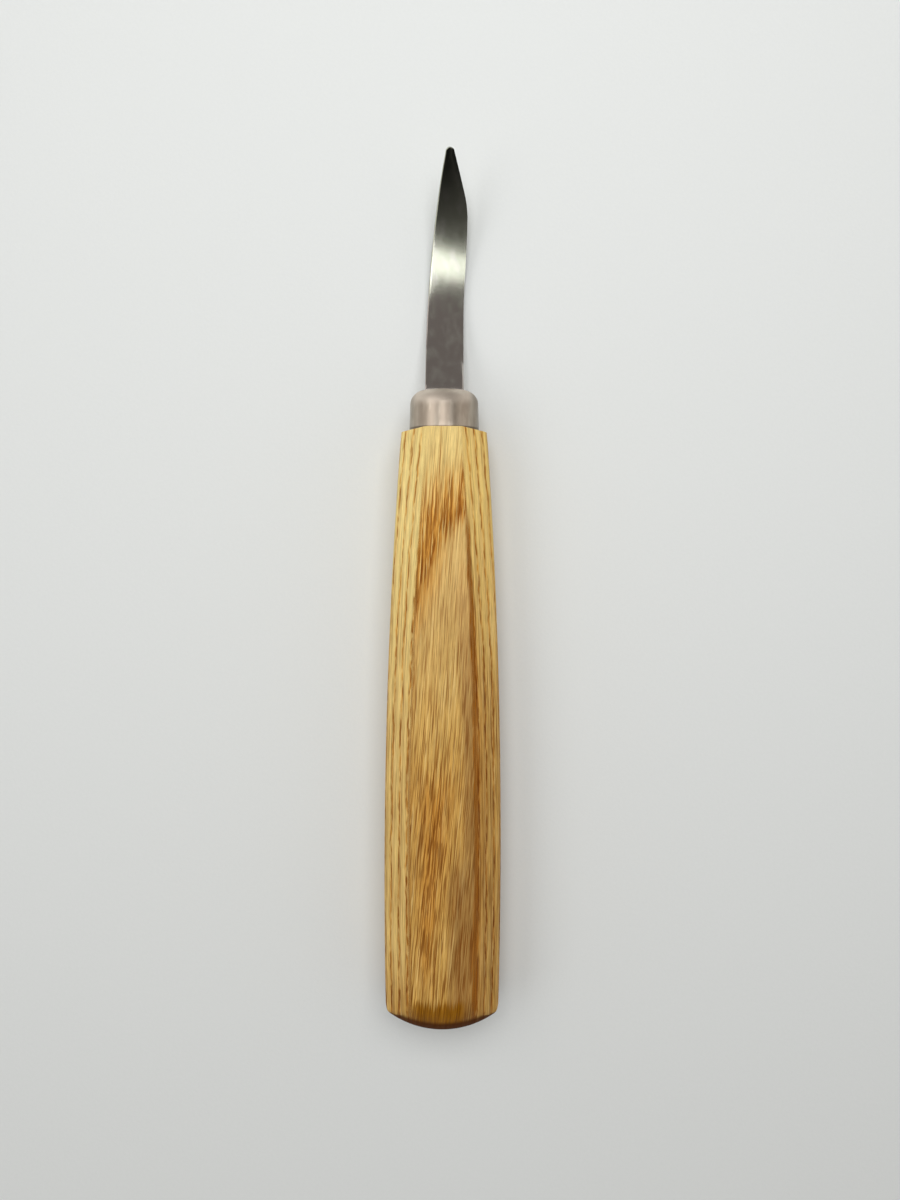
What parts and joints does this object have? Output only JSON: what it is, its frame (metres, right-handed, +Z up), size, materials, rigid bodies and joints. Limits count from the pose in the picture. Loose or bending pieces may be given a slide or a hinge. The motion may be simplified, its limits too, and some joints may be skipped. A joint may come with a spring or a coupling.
{
  "type": "spoon carving knife",
  "caption": "Hand carving knife with a short spoon-bent steel blade, ground to one cutting edge, in a closed cup ferrule and a facetted barrel handle of ash.",
  "frame": {"origin": "middle of the knife's whole length and width, on the surface that the handle's lower facet rests on", "axes": "+Y from the butt to the tip, +Z up out of the hollow of the bent blade, +X to the cutting edge's side"},
  "size_m": [0.0224, 0.17, 0.0156],
  "materials": {
    "blade_steel": "fine-ground and polished",
    "ferrule_metal": "drawn, satin, warm nickel tone",
    "resin": "cured, dull",
    "ash": "oiled, open pored"
  },
  "bodies": {
    "root": {"blade": "blade_steel", "ferrule": "ferrule_metal", "tang_adhesive": "resin", "handle": "ash"}
  },
  "joints": []
}
